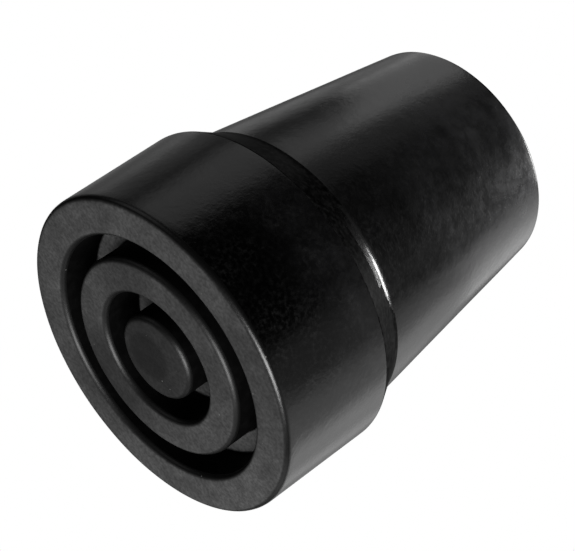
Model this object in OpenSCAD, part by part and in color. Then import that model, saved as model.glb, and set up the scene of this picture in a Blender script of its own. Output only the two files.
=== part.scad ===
// Rubber tip that pushes on to the end of a cane: one moulded piece with a wide ringed foot,
// a sloping shoulder and a tapered sleeve round a blind socket.
// The tread lies on z = 0, its centre is the origin, and the sleeve rises along +Z.

/* [Foot] */
// Diameter of the foot's side wall just above the tread, in mm
foot_diameter = 38; // [34:0.5:60]
// Height of the foot, from the tread to the edge of its shoulder
foot_height = 14.8; // [8:0.1:25]
// How far the side wall leans outwards between the tread and the shoulder
foot_flare = 0.23; // [0:0.01:1.5]
// Radius of the rounding round the tread's outer edge
tread_edge_radius = 0.75; // [0.2:0.05:2]
// Radius of the rounding along the shoulder's edge
shoulder_edge_radius = 0.6; // [0.1:0.05:2]

/* [Tread] */
// Width of the outer ring of the tread
rim_width = 4.55; // [3:0.05:7]
// Width of the groove inside the outer ring
outer_groove_width = 2.55; // [1.5:0.05:5]
// Width of the middle ring
middle_ring_width = 4.15; // [2:0.05:7]
// Width of the groove round the centre boss
inner_groove_width = 2.7; // [1.5:0.05:5]
// Depth of both grooves
groove_depth = 5; // [2:0.1:9]
// Radius of the rounding on the rings' edges beside the grooves
ring_edge_radius = 0.5; // [0.1:0.05:0.9]
// Radius of the corners at the grooves' floors
groove_floor_radius = 0.35; // [0.05:0.05:0.7]

/* [Sleeve] */
// Height of the whole tip, from the tread to the mouth
overall_height = 47.4; // [40:0.1:80]
// Height of the sloping shoulder between the foot and the sleeve
shoulder_rise = 3.6; // [1:0.1:8]
// How far the shoulder draws in from the foot's edge to the sleeve
shoulder_step = 1.98; // [0.5:0.01:3]
// Radius of the hollow corner where the shoulder runs into the sleeve
shoulder_hollow_radius = 3; // [0.5:0.1:8]
// Wall of the sleeve round the socket, at the mouth
mouth_wall = 4.3; // [2:0.1:8]
// Radius of the rounding on the mouth's outer edge
mouth_edge_radius = 0.6; // [0.1:0.05:1.2]

/* [Socket] */
// Diameter of the shaft that the tip is pushed on to
shaft_diameter = 19; // [10:0.5:25]
// Room between the shaft and the socket's wall on each side, none because rubber grips it
shaft_clearance = 0; // [0:0.01:0.5]
// Solid rubber under the end of the shaft, down to the tread
sole_thickness = 13.4; // [10:0.1:25]
// Width and depth of the bevel that leads the shaft into the mouth
lead_in = 0.8; // [0.2:0.1:1.6]

/* [Hidden] */
// Facets of the turned surfaces
$fn = 160;
// Chords in each rounded corner of the section
corner_steps = 7;
// How far a cutting shape reaches past the face it opens
overcut = 1;

// Tread edges from the rim inwards
foot_radius = foot_diameter / 2;
outer_groove_outside = foot_radius - rim_width;
outer_groove_inside = outer_groove_outside - outer_groove_width;
inner_groove_outside = outer_groove_inside - middle_ring_width;
boss_radius = inner_groove_outside - inner_groove_width;

// Shoulder, sleeve and socket
shoulder_radius = foot_radius + foot_flare;
sleeve_base_radius = shoulder_radius - shoulder_step;
sleeve_base_height = foot_height + shoulder_rise;
socket_radius = shaft_diameter / 2 + shaft_clearance;
mouth_radius = socket_radius + mouth_wall;
socket_depth = overall_height - sole_thickness;

// Unit vector along v
function unit(v) = v / norm(v);

// Angle turned from a to b, between -180 and 180 degrees
function turn(a, b) = ((b - a + 540) % 360) - 180;

// Points that replace corner b by an arc of radius r, tangent to the lines to a and c
function corner_arc(a, b, c, r) =
    let (
        u = unit(a - b),
        v = unit(c - b),
        half = acos(u * v) / 2,
        reach = r / tan(half),
        hub = b + unit(u + v) * r / sin(half),
        first = b + u * reach - hub,
        last = b + v * reach - hub,
        from = atan2(first[1], first[0]),
        sweep = turn(from, atan2(last[1], last[0]))
    )
    [for (i = [0:corner_steps])
        hub + r * [cos(from + sweep * i / corner_steps), sin(from + sweep * i / corner_steps)]];

// Outline through corners given as [radius from the axis, height, rounding]
function rounded(corners) =
    let (n = len(corners))
    [for (i = [0:n - 1])
        let (
            a = corners[(i + n - 1) % n],
            b = corners[i],
            c = corners[(i + 1) % n],
            here = [b[0], b[1]]
        )
        each b[2] > 0
            ? corner_arc([a[0], a[1]], here, [c[0], c[1]], b[2])
            : [here]];

// The four corners of one groove of the tread, from its inner edge to its outer edge
function groove_corners(inside, outside) = [
    [inside, 0, ring_edge_radius],
    [inside, groove_depth, groove_floor_radius],
    [outside, groove_depth, groove_floor_radius],
    [outside, 0, ring_edge_radius]
];

// Half section of the moulding without its socket, from the tread's centre to the mouth
section_corners = concat(
    [[0, 0, 0]],
    groove_corners(boss_radius, inner_groove_outside),
    groove_corners(outer_groove_inside, outer_groove_outside),
    [
        [foot_radius, 0, tread_edge_radius],
        [shoulder_radius, foot_height, shoulder_edge_radius],
        [sleeve_base_radius, sleeve_base_height, shoulder_hollow_radius],
        [mouth_radius, overall_height, mouth_edge_radius],
        [0, overall_height, 0]
    ]
);

// The turned outside: ringed tread, foot, shoulder and tapered sleeve
module moulding() {
    rotate_extrude()
        polygon(rounded(section_corners));
}

// The blind socket, with the bevel at its mouth
module shaft_socket() {
    translate([0, 0, sole_thickness])
        cylinder(r = socket_radius, h = socket_depth + overcut);
    translate([0, 0, overall_height - lead_in])
        cylinder(
            r1 = socket_radius,
            r2 = socket_radius + lead_in + overcut,
            h = lead_in + overcut
        );
}

// The whole tip, in black rubber
module cane_tip() {
    color("#1b1b1d")
        difference() {
            moulding();
            shaft_socket();
        }
}

cane_tip();
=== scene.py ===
"""Looks of the rubber cane tip: one turned moulding in black rubber, seen from below its tread."""
import math

import bpy
import numpy as np
from mathutils import Matrix, Vector


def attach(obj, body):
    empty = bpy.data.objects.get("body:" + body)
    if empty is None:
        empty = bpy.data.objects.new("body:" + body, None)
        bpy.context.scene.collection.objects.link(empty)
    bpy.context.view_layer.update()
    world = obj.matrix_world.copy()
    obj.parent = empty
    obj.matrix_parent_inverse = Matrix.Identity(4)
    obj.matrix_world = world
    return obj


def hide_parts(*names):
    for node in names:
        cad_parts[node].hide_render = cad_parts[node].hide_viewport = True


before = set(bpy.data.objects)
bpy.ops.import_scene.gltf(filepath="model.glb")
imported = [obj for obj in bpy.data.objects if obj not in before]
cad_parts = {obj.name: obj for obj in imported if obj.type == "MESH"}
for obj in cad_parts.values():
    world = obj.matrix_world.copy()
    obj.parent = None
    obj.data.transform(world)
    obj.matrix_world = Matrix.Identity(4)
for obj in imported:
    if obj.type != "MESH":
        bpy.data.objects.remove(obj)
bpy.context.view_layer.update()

# Sizes of the moulding in millimetres, as in the part's source. Only the rings' edges are a
# little rounder than there, 0.7 for 0.5, to catch the light as widely as the real ones.
MM = 0.001
FOOT_RADIUS, FOOT_HEIGHT, FOOT_FLARE = 19.0, 14.8, 0.23
RIM_WIDTH, OUTER_GROOVE, MIDDLE_RING, INNER_GROOVE = 4.55, 2.55, 4.15, 2.7
GROOVE_DEPTH = 5.0
TREAD_EDGE, RING_EDGE, GROOVE_CORNER = 0.75, 0.7, 0.35
SHOULDER_RISE, SHOULDER_STEP, SHOULDER_EDGE, SHOULDER_HOLLOW = 3.6, 1.98, 0.6, 3.0
HEIGHT, MOUTH_WALL, MOUTH_EDGE = 47.4, 4.3, 0.6
SOCKET_RADIUS, SOLE, LEAD_IN, SOCKET_EDGE = 9.5, 13.4, 0.8, 0.15

GROOVE_1_OUT = FOOT_RADIUS - RIM_WIDTH
GROOVE_1_IN = GROOVE_1_OUT - OUTER_GROOVE
GROOVE_2_OUT = GROOVE_1_IN - MIDDLE_RING
BOSS_RADIUS = GROOVE_2_OUT - INNER_GROOVE
SHOULDER_RADIUS = FOOT_RADIUS + FOOT_FLARE
SLEEVE_RADIUS = SHOULDER_RADIUS - SHOULDER_STEP
SLEEVE_FOOT = FOOT_HEIGHT + SHOULDER_RISE
MOUTH_RADIUS = SOCKET_RADIUS + MOUTH_WALL

# Mesh fineness: steps round the tip and in each rounding, and spacings along the section in mm
ROUND_STEPS = 420
ARC_STEPS = 6
OUTSIDE_SPACING, SOCKET_SPACING = 0.75, 2.5

# Unevenness of the moulding: its mean depth in mm, and its waves, each as a count round the tip
# with its start, and a length in mm along the section for one radian with its start
SINK = 0.018
WAVES = ((3, 0.4, 5.2, 1.1), (5, 2.1, 3.4, 0.3), (9, 4.0, 2.3, 2.2), (14, 1.3, 1.7, 5.0))

# Finishes of the faces, numbered in the order in which the tip gets its materials
SKIN, TREAD, GROOVE_WALL, SHOULDER = 0, 1, 2, 3

# Downward part of the normal at which a face starts to be tread and at which it is wholly so,
# and the least sum of this at a face's two edges that counts
TREAD_FROM, TREAD_FULL, LEAST_TREAD = 0.8, 0.99, 0.02
# Dust on the rings, which the floor rubs, and on the grooves' floors, where it stays. The floors'
# larger share is partly a painted light, which lifts them to the rings' grey in the grooves' shade.
RING_DUST, GROOVE_DUST_AND_LIGHT = 0.7, 1.4

# Heights in mm of the matt shoulder's foot and of the hollow corner above it
SLOPE_FOOT = FOOT_HEIGHT - 0.1
HOLLOW_FOOT, HOLLOW_TOP = SLEEVE_FOOT - 0.95, SLEEVE_FOOT + 0.3
# Azimuths in degrees between which the hollow is wiped glossy, and how much further it is at its top
WIPED_FROM, WIPED_TO, WIPED_SLANT = -97, -68, 14


def linear(hex_colour):
    """Turns an sRGB hex colour into linear red, green, blue and full alpha."""
    parts = [int(hex_colour[i:i + 2], 16) / 255 for i in (1, 3, 5)]
    return [c / 12.92 if c <= 0.04045 else ((c + 0.055) / 1.055) ** 2.4 for c in parts] + [1.0]


def groove_corners(inside, outside):
    """The four corners of one groove as (radius, height, rounding), from its inner edge outwards."""
    return [
        (inside, 0, RING_EDGE), (inside, GROOVE_DEPTH, GROOVE_CORNER),
        (outside, GROOVE_DEPTH, GROOVE_CORNER), (outside, 0, RING_EDGE)]


def section_corners():
    """Corners of the half section as (radius, height, rounding), from the tread's centre
    over the grooves, rim, shoulder, sleeve and mouth down to the socket's floor."""
    return np.array(
        [(0, 0, 0)]
        + groove_corners(BOSS_RADIUS, GROOVE_2_OUT)
        + groove_corners(GROOVE_1_IN, GROOVE_1_OUT)
        + [(FOOT_RADIUS, 0, TREAD_EDGE), (SHOULDER_RADIUS, FOOT_HEIGHT, SHOULDER_EDGE),
           (SLEEVE_RADIUS, SLEEVE_FOOT, SHOULDER_HOLLOW), (MOUTH_RADIUS, HEIGHT, MOUTH_EDGE),
           (SOCKET_RADIUS + LEAD_IN, HEIGHT, SOCKET_EDGE),
           (SOCKET_RADIUS, HEIGHT - LEAD_IN, SOCKET_EDGE),
           (SOCKET_RADIUS, SOLE, SOCKET_EDGE), (0, SOLE, 0)], float)


def corner_arc(before, corner, after, radius):
    """Points of the arc that rounds a corner: its centre lies on the corner's bisector at
    radius over the sine of half the angle, and the arc turns between the two touching points."""
    u = (before - corner) / np.linalg.norm(before - corner)
    v = (after - corner) / np.linalg.norm(after - corner)
    half = math.acos(float(np.clip(u @ v, -1, 1))) / 2
    middle = (u + v) / np.linalg.norm(u + v)
    hub = corner + middle * radius / math.sin(half)
    reach = radius / math.tan(half)
    first, last = corner + u * reach - hub, corner + v * reach - hub
    start = math.atan2(first[1], first[0])
    sweep = (math.atan2(last[1], last[0]) - start + math.pi) % (2 * math.pi) - math.pi
    angle = start + sweep * np.linspace(0, 1, ARC_STEPS + 1)
    return hub + radius * np.stack([np.cos(angle), np.sin(angle)], 1)


def section_path():
    """The rounded half section as points, with each straight stretch cut at an even spacing,
    which is wider on the socket's wall and floor."""
    corners = section_corners()
    flat, rounding = corners[:, :2], corners[:, 2]
    arcs = [flat[:1]]
    for i in range(1, len(corners) - 1):
        arcs.append(corner_arc(flat[i - 1], flat[i], flat[i + 1], rounding[i]))
    arcs.append(flat[-1:])
    filled = [arcs[0]]
    for i in range(1, len(arcs)):
        a, b = arcs[i - 1][-1], arcs[i][0]
        spacing = SOCKET_SPACING if i >= len(arcs) - 2 else OUTSIDE_SPACING
        cuts = max(1, int(round(np.linalg.norm(b - a) / spacing)))
        t = np.linspace(0, 1, cuts + 1)[1:-1, None]
        filled += [a + (b - a) * t, arcs[i]]
    return np.concatenate(filled)


def outward(path):
    """Unit normals of the section that point out of the rubber: each tangent turned by -90 degrees."""
    tangent = np.gradient(path, axis=0)
    tangent /= np.maximum(np.linalg.norm(tangent, axis=1, keepdims=True), 1e-9)
    return np.stack([tangent[:, 1], -tangent[:, 0]], 1)


def facing_floor(path):
    """How far each point of the section is tread, 0 to 1: a smooth step, 3 t^2 - 2 t^3, of the
    downward part of its normal."""
    t = np.clip((-outward(path)[:, 1] - TREAD_FROM) / (TREAD_FULL - TREAD_FROM), 0, 1)
    return t * t * (3 - 2 * t)


def turned_points(path):
    """Points in metres of the section turned about Z: a pole, one ring for each inner point of
    the path, which is (r cos a, r sin a, z) over the turn a, and a pole. Each ring point first
    moves inwards along its normal by SINK times 1 plus the mean of the waves, where a wave is
    sin(count a + start) sin(length along the section / span + start)."""
    along = np.concatenate([[0], np.cumsum(np.linalg.norm(np.diff(path, axis=0), axis=1))])
    turn = np.arange(ROUND_STEPS) * 2 * math.pi / ROUND_STEPS
    waves = sum(
        np.sin(count * turn + start) * np.sin(along[1:-1, None] / span + along_start)
        for count, start, span, along_start in WAVES)
    sink = SINK * (waves / len(WAVES) + 1)
    moved = path[1:-1, None, :] - outward(path)[1:-1, None, :] * sink[..., None]
    radius, height = moved[..., 0], moved[..., 1]
    rings = np.stack([radius * np.cos(turn), radius * np.sin(turn), height], -1).reshape(-1, 3)
    return np.concatenate([[[0, 0, path[0, 1]]], rings, [[0, 0, path[-1, 1]]]]) * MM


def turned_faces(ring_count):
    """Corner numbers of the quads between neighbouring rings, ring by ring, and of the triangles
    that join the first ring to the first pole and the last ring to the last pole."""
    ring, step = np.meshgrid(np.arange(ring_count - 1), np.arange(ROUND_STEPS), indexing="ij")
    here = 1 + ring * ROUND_STEPS + step
    beside = 1 + ring * ROUND_STEPS + (step + 1) % ROUND_STEPS
    quads = np.stack([here, beside, beside + ROUND_STEPS, here + ROUND_STEPS], -1)
    step = np.arange(ROUND_STEPS)
    after = (step + 1) % ROUND_STEPS
    last_ring = 1 + (ring_count - 1) * ROUND_STEPS
    last_pole = last_ring + ROUND_STEPS
    first_cap = np.stack([np.zeros_like(step), after + 1, step + 1], -1)
    last_cap = np.stack([np.full_like(step, last_pole), last_ring + step, last_ring + after], -1)
    return quads.reshape(-1, 4), np.concatenate([first_cap, last_cap])


def face_finishes(path):
    """The finish of each face, in the faces' order. Faces that look at the floor are tread, the
    others between the rings are groove wall, and the slope of the shoulder is matt. So is the
    hollow above it, outside a stretch that is wiped glossy and ends on a slant."""
    facing = facing_floor(path)
    looks_down = facing[1:-2] + facing[2:-1] > LEAST_TREAD
    radius, height = ((path[1:-2] + path[2:-1]) / 2).T
    between_rings = (radius < GROOVE_1_OUT + 0.1) & (height > RING_EDGE) & (height < GROOVE_DEPTH + 0.01)
    finish = np.where(looks_down | (height < TREAD_EDGE), TREAD, SKIN)
    finish = np.where(between_rings & ~looks_down, GROOVE_WALL, finish)
    outside = radius > SOCKET_RADIUS + 1
    on_slope = outside & (height > SLOPE_FOOT) & (height < HOLLOW_FOOT)
    in_hollow = outside & (height > HOLLOW_FOOT) & (height < HOLLOW_TOP)
    azimuth = np.arange(ROUND_STEPS) * 360 / ROUND_STEPS - 360
    wiped_end = WIPED_TO + WIPED_SLANT * (height - HOLLOW_FOOT) / (HOLLOW_TOP - HOLLOW_FOOT)
    unwiped = (azimuth < WIPED_FROM) | (azimuth > wiped_end[:, None])
    matt = on_slope[:, None] | (in_hollow[:, None] & unwiped)
    finish = np.where(matt, SHOULDER, finish[:, None]).ravel()
    return np.concatenate([finish, np.full(ROUND_STEPS, TREAD), np.full(ROUND_STEPS, SKIN)])


def turned_tip(name, path):
    """The closed tip as one smooth mesh, with the finish of each face as its material's number
    and the tread's dust at each point as an attribute, which on the grooves' floors also holds
    a painted light."""
    points = turned_points(path)
    quads, caps = turned_faces(len(path) - 2)
    corners = np.concatenate([quads.ravel(), caps.ravel()])
    sizes = np.concatenate([np.full(len(quads), 4), np.full(len(caps), 3)])
    starts = np.concatenate([[0], np.cumsum(sizes)[:-1]])
    # On the grooves' floors this share is partly dust and partly a painted light
    dust = facing_floor(path) * np.where(path[:, 1] > RING_EDGE, GROOVE_DUST_AND_LIGHT, RING_DUST)
    point_dust_and_floor_light = np.concatenate([dust[:1], np.repeat(dust[1:-1], ROUND_STEPS), [0.0]])
    mesh = bpy.data.meshes.new(name)
    mesh.vertices.add(len(points))
    mesh.vertices.foreach_set("co", points.astype(np.float32).ravel())
    mesh.loops.add(len(corners))
    mesh.loops.foreach_set("vertex_index", corners.astype(np.int32))
    mesh.polygons.add(len(sizes))
    mesh.polygons.foreach_set("loop_start", starts.astype(np.int32))
    mesh.polygons.foreach_set("use_smooth", np.ones(len(sizes), bool))
    mesh.polygons.foreach_set("material_index", face_finishes(path).astype(np.int32))
    attribute = mesh.attributes.new("dust", "FLOAT", "POINT")
    attribute.data.foreach_set("value", point_dust_and_floor_light.astype(np.float32))
    mesh.update(calc_edges=True)
    mesh.validate()
    piece = bpy.data.objects.new(name, mesh)
    bpy.context.scene.collection.objects.link(piece)
    return piece


def new_material(name):
    """An empty node material with its output."""
    material = bpy.data.materials.new(name)
    material.use_nodes = True
    nodes = material.node_tree.nodes
    nodes.clear()
    return material, nodes.new("ShaderNodeOutputMaterial")


def add_node(owner, kind, settings=None, inputs=None, surface=None):
    """Adds one node with its own settings. Each input is a value or a (node, output) pair to link.
    A surface is the output node that the new node ends in."""
    tree = owner.node_tree
    node = tree.nodes.new(kind)
    for key, value in (settings or {}).items():
        setattr(node, key, value)
    for key, value in (inputs or {}).items():
        if isinstance(value, tuple) and isinstance(value[0], bpy.types.Node):
            tree.links.new(value[0].outputs[value[1]], node.inputs[key])
        else:
            node.inputs[key].default_value = value
    if surface:
        tree.links.new(node.outputs[0], surface.inputs["Surface"])
    return node


# Settings that several nodes share, and the Mix node's sockets for colours
SMOOTH = {"interpolation_type": "SMOOTHSTEP"}
TIMES, PLUS = {"operation": "MULTIPLY"}, {"operation": "ADD"}
TIMES_PLUS = {"operation": "MULTIPLY_ADD"}
COLOURS = {"data_type": "RGBA"}
MIX, DARK, LIGHT, MIXED = 0, 6, 7, 2

# Refraction of vulcanised rubber
RUBBER_IOR = 1.5

# Patterns of the skin: size in mm, detail, raggedness, range of the noise, least strength.
# The grain stands for dust under 0.1 mm, and is drawn coarse enough to show.
SKIN_NOISES = {
    "clouds": (7.0, 7.0, 0.5, 0.34, 0.66, 0.4),
    "wisps": (1.3, 5.0, 0.3, 0.32, 0.68, 0.6),
    "grain": (0.45, 4.0, 0.0, 0.4, 0.85, 0.0),
    "patches": (3.5, 4.0, 0.4, 0.35, 0.7, 0.25),
}
# Heights in mm over which the bloom, partly a painted sheen, grows towards the mouth, over which a
# painted sheen grows towards the foot's upper edge, and over which that sheen ends past the edge
MOUTH_BLOOM_AND_SHEEN, EDGE_SHEEN, EDGE_SHEEN_END = (21, 51), (5, 14.4), (14.5, 15.4)


def moulded_rubber():
    """Compression-moulded black rubber: a dark skin with a soft gloss. Bloom, the wax that rubber
    sweats out, greys and dulls it in clouds. Their growth towards the mouth is partly that wax and
    partly a painted sheen for the light there, and a painted sheen greys the foot towards its upper
    edge. Fine dust sits in its grain. Its surface waves by a few hundredths of a millimetre, which
    wavers the highlights."""
    material, output = new_material("black_rubber_moulded_skin")
    coords = add_node(material, "ShaderNodeTexCoord")
    place = add_node(material, "ShaderNodeSeparateXYZ", None, {"Vector": (coords, "Object")})
    noises = {}
    for name, (size, detail, ragged, low, high, least) in SKIN_NOISES.items():
        noise = add_node(material, "ShaderNodeTexNoise", None, {
            "Vector": (coords, "Object"), "Scale": 1 / (size * MM), "Detail": detail,
            "Roughness": 0.6, "Distortion": ragged})
        noises[name] = (add_node(material, "ShaderNodeMapRange", SMOOTH, {
            "Value": (noise, "Fac"), "From Min": low, "From Max": high, "To Min": least}), 0)
    bands = []
    # Painted sheen: these bands grey the sleeve towards the mouth, partly as real bloom, and the foot
    # towards its upper edge, less past it
    for (low, high), below, above in (
            (MOUTH_BLOOM_AND_SHEEN, 0.0, 1.0), (EDGE_SHEEN, 0.0, 0.28), (EDGE_SHEEN_END, 1.0, 0.4)):
        band = add_node(material, "ShaderNodeMapRange", SMOOTH, {
            "Value": (place, "Z"), "From Min": low * MM, "From Max": high * MM,
            "To Min": below, "To Max": above})
        bands.append((band, 0))
    bloom_and_sheen = add_node(material, "ShaderNodeMath", TIMES_PLUS, {0: bands[1], 1: bands[2], 2: bands[0]})
    for name in ("clouds", "wisps"):
        bloom_and_sheen = add_node(material, "ShaderNodeMath", TIMES, {0: (bloom_and_sheen, 0), 1: noises[name]})
    speck = add_node(material, "ShaderNodeMath", TIMES, {0: noises["grain"], 1: noises["patches"]})
    bare = add_node(material, "ShaderNodeMix", COLOURS, {
        MIX: (speck, 0), DARK: linear("#020202"), LIGHT: linear("#222222")})
    # The bloom's grey is partly a painted sheen: lighter towards the mouth and towards the foot's upper
    # edge
    colour = add_node(material, "ShaderNodeMix", COLOURS, {
        MIX: (bloom_and_sheen, 0), DARK: (bare, MIXED), LIGHT: linear("#3d3d3e")})
    # Roughness from 0.11, and duller in the wisps and in the bloom with its painted sheen
    gloss = add_node(material, "ShaderNodeMath", TIMES_PLUS, {0: noises["wisps"], 1: 0.1, 2: 0.11})
    dull = add_node(material, "ShaderNodeMath", TIMES_PLUS, {0: (bloom_and_sheen, 0), 1: 0.08, 2: (gloss, 0)})
    relief = add_node(material, "ShaderNodeMath", PLUS, {0: noises["grain"], 1: noises["wisps"]})
    relief = add_node(material, "ShaderNodeMath", TIMES_PLUS, {
        0: noises["patches"], 1: 2.2, 2: (relief, 0)})
    bump = add_node(material, "ShaderNodeBump", None, {
        "Height": (relief, 0), "Distance": 0.012 * MM, "Strength": 0.6})
    add_node(material, "ShaderNodeBsdfPrincipled", None, {
        "IOR": RUBBER_IOR, "Base Color": (colour, MIXED), "Roughness": (dull, 0),
        "Normal": (bump, 0)}, output)
    return material


# Layers of the tread's dust: size in mm, detail, range of the noise, least strength. The first
# stands for dust under 0.1 mm, and is drawn coarse enough to show.
DUST_LAYERS = ((0.42, 4.0, 0.3, 0.7, 0.55), (1.5, 4.0, 0.3, 0.7, 0.74), (5.0, 5.0, 0.35, 0.65, 0.74))
# Places where the tread's grey is weaker, and one on the rim where it is stronger: middle, inner
# and outer radius in mm, share of the grey inside and outside
TREAD_GREY_PLACES = (
    (0, 0, BOSS_RADIUS, GROOVE_2_OUT, 0.34, 1.0),
    (-0.7, 0.7, 2.3, 3.5, 0.4, 1.0),
    (0, 0, GROOVE_1_IN, GROOVE_1_OUT, 0.86, 1.0),
    (-1.0, 10.3, 2.5, 8.5, 0.45, 1.0),
    (18.0, 2.0, 3.0, 30.0, 1.0, 0.8),
    (8.5, -14.5, 3.0, 14.0, 0.68, 1.0),
    (-8.5, -4.9, 1.5, 6.0, 0.7, 1.0),
)
# Cells in mm of the tread's pale grains, one at most in each
GRAIN_CELL = 1.2
# Radii in mm between which the tread's rubber grows glossier towards its outer rounding
GLOSSIER_FROM, GLOSSIER_TO = 14.8, 17.5


def dusty_tread():
    """The same rubber where it meets the floor: scuffed dull and greyed by fine dust, less on the
    boss, with a few pale grains. On the grooves' floors the grey is partly a painted light."""
    material, output = new_material("black_rubber_dusty_tread")
    coords = add_node(material, "ShaderNodeTexCoord")
    dust = add_node(material, "ShaderNodeAttribute", {"attribute_name": "dust"})
    dust_and_floor_light = (dust, "Fac")
    layers = []
    for size, detail, low, high, least in DUST_LAYERS:
        noise = add_node(material, "ShaderNodeTexNoise", None, {
            "Vector": (coords, "Object"), "Scale": 1 / (size * MM), "Detail": detail,
            "Roughness": 0.55})
        layer = add_node(material, "ShaderNodeMapRange", SMOOTH, {
            "Value": (noise, "Fac"), "From Min": low, "From Max": high, "To Min": least})
        layers.append(layer)
        dust_and_floor_light = (add_node(material, "ShaderNodeMath", TIMES, {0: dust_and_floor_light, 1: (layer, 0)}), 0)
    flat = add_node(material, "ShaderNodeVectorMath", TIMES, {0: (coords, "Object"), 1: (1, 1, 0)})
    for x, y, inner, outer, inside, outside in TREAD_GREY_PLACES:
        gap = add_node(material, "ShaderNodeVectorMath", {"operation": "DISTANCE"}, {
            0: (flat, 0), 1: (x * MM, y * MM, 0)})
        layer = add_node(material, "ShaderNodeMapRange", SMOOTH, {
            "Value": (gap, "Value"), "From Min": inner * MM, "From Max": outer * MM,
            "To Min": inside, "To Max": outside})
        dust_and_floor_light = (add_node(material, "ShaderNodeMath", TIMES, {0: dust_and_floor_light, 1: (layer, 0)}), 0)
    # The grey of dust, and on the grooves' floors partly a painted light
    colour = add_node(material, "ShaderNodeMix", COLOURS, {
        MIX: dust_and_floor_light, DARK: linear("#060606"), LIGHT: linear("#606060")})
    cells = add_node(material, "ShaderNodeTexVoronoi", None, {
        "Vector": (coords, "Object"), "Scale": 1 / (GRAIN_CELL * MM)})
    near = add_node(material, "ShaderNodeMapRange", SMOOTH, {
        "Value": (cells, "Distance"), "From Min": 0.03, "From Max": 0.09,
        "To Min": 1.0, "To Max": 0.0})
    pick = add_node(material, "ShaderNodeSeparateColor", None, {"Color": (cells, "Color")})
    few = add_node(material, "ShaderNodeMapRange", SMOOTH, {
        "Value": (pick, "Red"), "From Min": 0.6, "From Max": 0.9, "To Max": 0.7})
    grains = add_node(material, "ShaderNodeMath", TIMES, {0: (near, 0), 1: (few, 0)})
    speckled = add_node(material, "ShaderNodeMix", COLOURS, {
        MIX: (grains, 0), DARK: (colour, MIXED), LIGHT: linear("#7c7c7a")})
    # The rim's outer rounding is rubbed glossier than the rings' edges, and dust dulls both
    reach = add_node(material, "ShaderNodeVectorMath", {"operation": "LENGTH"}, {0: (flat, 0)})
    rubbed = add_node(material, "ShaderNodeMapRange", SMOOTH, {
        "Value": (reach, "Value"), "From Min": GLOSSIER_FROM * MM, "From Max": GLOSSIER_TO * MM,
        "To Min": 0.46, "To Max": 0.33})
    dull = add_node(material, "ShaderNodeMath", TIMES_PLUS, {
        0: (dust, "Fac"), 1: 0.17, 2: (rubbed, 0)})
    relief = add_node(material, "ShaderNodeMath", PLUS, {0: (layers[0], 0), 1: (layers[1], 0)})
    bump = add_node(material, "ShaderNodeBump", None, {
        "Height": (relief, 0), "Distance": 0.02 * MM, "Strength": 0.6})
    add_node(material, "ShaderNodeBsdfPrincipled", None, {
        "IOR": RUBBER_IOR, "Base Color": (speckled, MIXED), "Roughness": (dull, 0),
        "Normal": (bump, 0)}, output)
    return material


def matt_rubber(name, size, detail, fineness, low, high, dark, light, roughness, specular):
    """Moulded rubber that is matt, almost without a reflection, and mottled from a dark to a light
    colour by a noise of a size in mm, between its low and high values."""
    material, output = new_material(name)
    coords = add_node(material, "ShaderNodeTexCoord")
    noise = add_node(material, "ShaderNodeTexNoise", None, {
        "Vector": (coords, "Object"), "Scale": 1 / (size * MM), "Detail": detail,
        "Roughness": fineness})
    mottle = add_node(material, "ShaderNodeMapRange", SMOOTH, {
        "Value": (noise, "Fac"), "From Min": low, "From Max": high})
    colour = add_node(material, "ShaderNodeMix", COLOURS, {
        MIX: (mottle, 0), DARK: linear(dark), LIGHT: linear(light)})
    add_node(material, "ShaderNodeBsdfPrincipled", None, {
        "IOR": RUBBER_IOR, "Roughness": roughness, "Specular IOR Level": specular,
        "Base Color": (colour, MIXED)}, output)
    return material


tip = turned_tip("rubber_tip", section_path())
tip.data.materials.append(moulded_rubber())
tip.data.materials.append(dusty_tread())
# The grooves' walls are matt, and painted near-black: a painted shade for the deep grooves
tip.data.materials.append(matt_rubber(
    "black_rubber_matt_groove", size=1.2, detail=4.0, fineness=0.5, low=0.4, high=0.7,
    dark="#010101", light="#060606", roughness=0.75, specular=0.08))
# Fine dust lies in blotches on the slope above the foot, drawn coarse enough to show
tip.data.materials.append(matt_rubber(
    "black_rubber_matt_shoulder", size=0.6, detail=6.0, fineness=0.65, low=0.36, high=0.8,
    dark="#070707", light="#303030", roughness=0.35, specular=0.007))
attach(tip, "root")
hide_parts("cane_tip")

# Camera fitted to the photograph, with the picture's centre on its axis
camera_data = bpy.data.cameras.new("camera")
camera_data.sensor_width = 36
camera_data.lens = 118.326
camera_data.clip_start, camera_data.clip_end = 0.01, 20
camera = bpy.data.objects.new("camera", camera_data)
camera.location = (0.0006688, -0.1739082, -0.0936977)
camera.rotation_euler = tuple(math.radians(a) for a in (138.85427, -43.56385, -38.26391))
bpy.context.scene.collection.objects.link(camera)
bpy.context.scene.camera = camera


def direction(azimuth, elevation):
    """Unit vector towards an azimuth, measured from +X to +Y, and an elevation, in degrees."""
    a, e = math.radians(azimuth), math.radians(elevation)
    return Vector((math.cos(a) * math.cos(e), math.sin(a) * math.cos(e), math.sin(e)))


def softbox(name, place, aim, long_side, length, width, power, mirrored=True):
    """A rectangular softbox at a place in metres that faces the aim, with its length along the
    given direction. The camera doesn't see it, and the rubber mirrors it only where asked."""
    data = bpy.data.lights.new(name, "AREA")
    data.shape, data.size, data.size_y, data.energy = "RECTANGLE", length, width, power
    light = bpy.data.objects.new(name, data)
    back = (Vector(place) - Vector(aim)).normalized()
    across = back.cross(Vector(long_side)).normalized()
    turned = Matrix((across.cross(back), across, back)).transposed()
    light.matrix_world = Matrix.Translation(Vector(place)) @ turned.to_4x4()
    light.visible_camera = False
    light.visible_glossy = mirrored
    bpy.context.scene.collection.objects.link(light)


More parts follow.
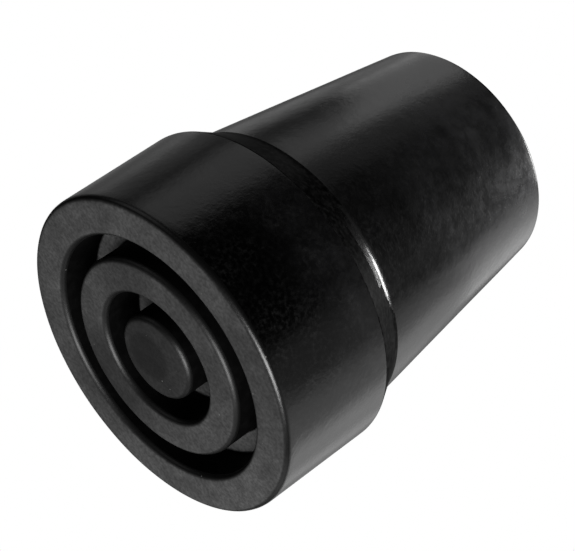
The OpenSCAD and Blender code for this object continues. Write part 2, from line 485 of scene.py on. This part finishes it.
# Large softboxes at half a metre, and two small ones close to the mouth, whose light runs down
# the sleeve into the hollow above the shoulder
TIP_MIDDLE = Vector((0, 0, 0.02))
REACH = 0.5
softbox("low_key", TIP_MIDDLE + direction(-40, -44) * REACH, TIP_MIDDLE,
        (0, 0, 1), 0.24, 0.24, 2.9)
softbox("under_tread", TIP_MIDDLE + direction(-60, -80) * REACH, TIP_MIDDLE,
        (1, 0, 0), 0.14, 0.14, 1.25, mirrored=False)
softbox("top_strip", TIP_MIDDLE + direction(-10, 69) * REACH, TIP_MIDDLE,
        (0.64, 0.74, -0.19), 0.16, 0.085, 0.85)
softbox("left_near", (-0.0335, -0.006, 0.070), (-0.012, -0.009, 0.038),
        (0.05, 1, 0), 0.034, 0.02, 0.0011)
softbox("right_near", (0.032, 0.005, 0.070), (0.012, -0.006, 0.038),
        (-0.2, 0.98, 0), 0.035, 0.02, 0.0012)


def pale_floor():
    """Matt pale paint on the floor's upper side; its under side lets the camera look through."""
    material, output = new_material("pale_floor_paint")
    paint = add_node(material, "ShaderNodeBsdfDiffuse", None, {"Color": linear("#f0f0ee")})
    glow = add_node(material, "ShaderNodeEmission", None, {
        "Color": linear("#f6f6f4"), "Strength": 0.22})
    pale = add_node(material, "ShaderNodeAddShader", None, {0: (paint, 0), 1: (glow, 0)})
    clear = add_node(material, "ShaderNodeBsdfTransparent")
    side = add_node(material, "ShaderNodeNewGeometry")
    add_node(material, "ShaderNodeMixShader", None, {
        0: (side, "Backfacing"), 1: (pale, 0), 2: (clear, 0)}, output)
    return material


# The floor lies just under the tread, and only the camera meets it
FLOOR_HALF, FLOOR_DROP = 3.0, 0.3 * MM
floor_mesh = bpy.data.meshes.new("floor")
floor_mesh.from_pydata(
    [(x * FLOOR_HALF, y * FLOOR_HALF, -FLOOR_DROP) for x, y in ((-1, -1), (1, -1), (1, 1), (-1, 1))],
    [], [(0, 1, 2, 3)])
floor_mesh.materials.append(pale_floor())
floor = bpy.data.objects.new("floor", floor_mesh)
bpy.context.scene.collection.objects.link(floor)
floor.visible_shadow = floor.visible_diffuse = False
floor.visible_glossy = floor.visible_transmission = False

# Soft panels round the tip as azimuth and elevation in degrees, half width, flat core, brightness
PANELS = {
    "right_sweep": (10, 28, 29, 0.3, 0.85),
    "right_low": (-12, 12, 24, 0.2, 0.41),
    "right_front": (-35, 25, 24, 0.2, 0.28),
    "right_back": (40, 32, 24, 0.2, 0.92),
    "far_right_back": (68, 24, 22, 0.2, 0.36),
    "back": (95, 24, 22, 0.2, 0.25),
    "back_left": (125, 26, 22, 0.2, 0.2),
    "left_back": (150, 28, 20, 0.2, 0.24),
    "left_strip": (-168, 33, 22, 0.2, 0.6),
    "left_roof": (178, 50, 18, 0.2, 0.19),
    "left_front_roof": (-150, 50, 20, 0.2, 0.25),
    "back_left_roof": (94, 50, 17, 0.2, 0.5),
    "left_back_roof": (132, 43, 14, 0.3, 0.34),
    "right_roof": (-25, 60, 24, 0.2, 0.12),
    "back_roof": (30, 75, 18, 0.2, 0.12),
    "front_roof": (-60, 68, 20, 0.2, 0.14),
    "front_left_crown": (-110, 62, 22, 0.2, 0.06),
    "left_behind": (-172, -12, 24, 0.2, 0.6),
    "right_behind": (34, -12, 22, 0.2, 0.7),
    "back_low": (72, -42, 30, 0.3, 0.22),
    "back_level": (100, -20, 24, 0.2, 0.08),
}


def studio_surround():
    """White to the camera, and soft panels to everything else: each panel's light is its
    brightness times a smooth step of the cosine of the angle from its middle."""
    world = bpy.data.worlds.new("studio")
    world.use_nodes = True
    world.node_tree.nodes.clear()
    coords = add_node(world, "ShaderNodeTexCoord")
    total = 0.0
    for azimuth, elevation, spread, core, brightness in PANELS.values():
        near = add_node(world, "ShaderNodeVectorMath", {"operation": "DOT_PRODUCT"}, {
            0: (coords, "Generated"), 1: direction(azimuth, elevation)})
        panel = add_node(world, "ShaderNodeMapRange", SMOOTH, {
            "Value": (near, "Value"), "From Min": math.cos(math.radians(spread)),
            "From Max": math.cos(math.radians(spread * core)), "To Max": brightness})
        total = (add_node(world, "ShaderNodeMath", PLUS, {0: total, 1: (panel, 0)}), 0)
    felt = add_node(world, "ShaderNodeBackground", None, {"Strength": total})
    seen = add_node(world, "ShaderNodeBackground", None, {"Color": linear("#ffffff")})
    ray = add_node(world, "ShaderNodeLightPath")
    output = add_node(world, "ShaderNodeOutputWorld")
    add_node(world, "ShaderNodeMixShader", None, {
        0: (ray, "Is Camera Ray"), 1: (felt, 0), 2: (seen, 0)}, output)
    return world


bpy.context.scene.world = studio_surround()
bpy.context.scene.view_settings.view_transform = "Standard"
